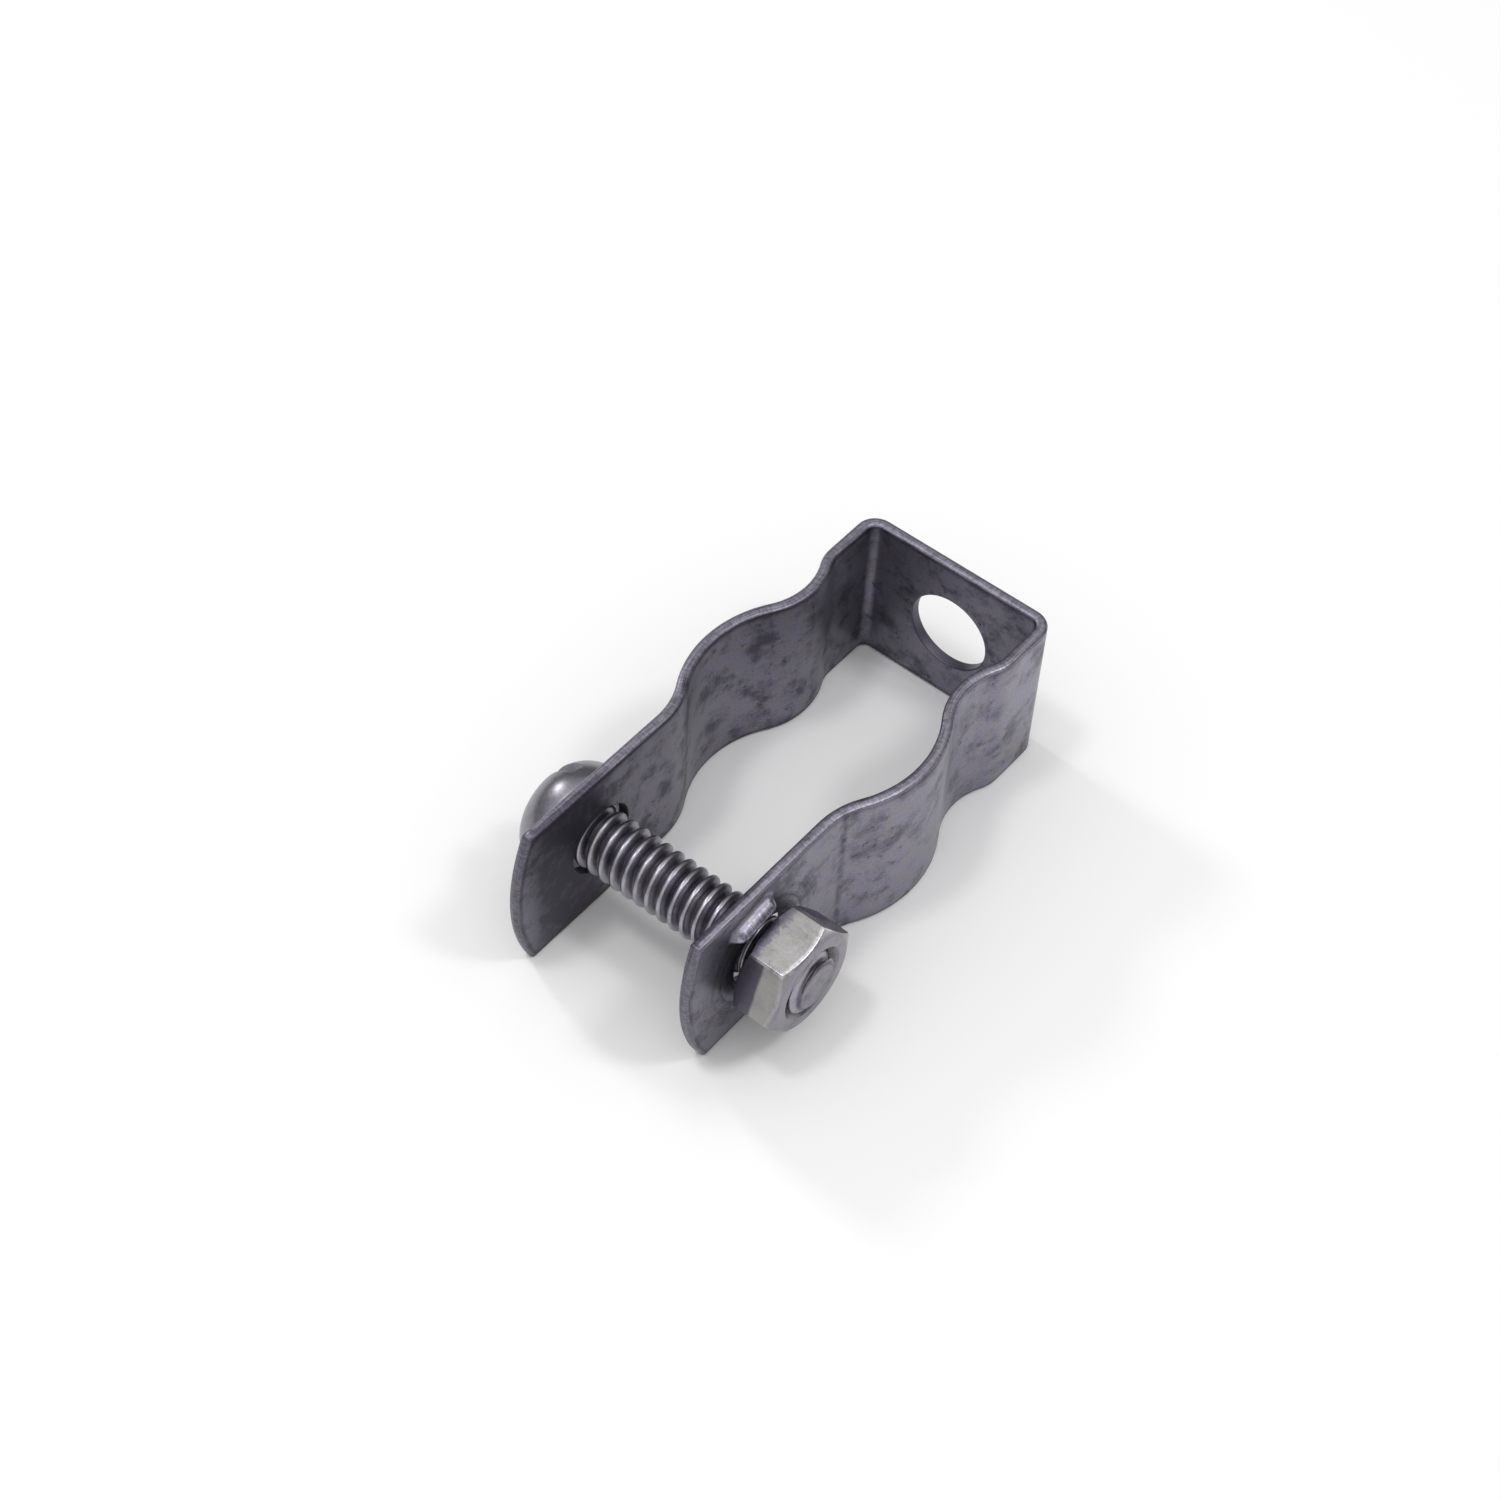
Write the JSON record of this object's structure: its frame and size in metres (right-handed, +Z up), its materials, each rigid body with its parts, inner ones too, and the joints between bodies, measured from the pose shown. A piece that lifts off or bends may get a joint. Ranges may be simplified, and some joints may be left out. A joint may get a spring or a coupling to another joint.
{
  "type": "conduit clamp",
  "caption": "Bent steel strap that grips a round conduit between its legs, closed by a slotted round-head screw and hex nut, and hung by the hole in its base.",
  "frame": {"origin": "middle of the bounding box's underside, on the surface that the clamp lies on with one cut edge of its strap", "axes": "+X along the screw from its head to the nut, +Y from the ears to the base, +Z up across the width of the strip"},
  "size_m": [0.025, 0.0412, 0.0135],
  "materials": {
    "strap": "dull zinc plating with darker stains",
    "screw": "zinc plated",
    "nut": "zinc plated, flats lightly brushed"
  },
  "bodies": {
    "strap": {"strap": "strap"},
    "screw": {"screw": "screw"},
    "nut": {"nut": "nut"}
  },
  "joints": [
    {"name": "screw_turn", "type": "hinge", "parent": "strap", "child": "screw", "pos_m": [0, -0.01187, 0.00675], "axis": [1, 0, 0], "range_deg": [-1080, 250]},
    {"name": "nut_travel", "type": "slide", "parent": "strap", "child": "nut", "axis": [1, 0, 0], "range_m": [-0.00073, 0.00317]}
  ],
  "couplings": [
    {"joint": "screw_turn", "follows": "nut_travel", "rad_per_m": -5936.9}
  ]
}
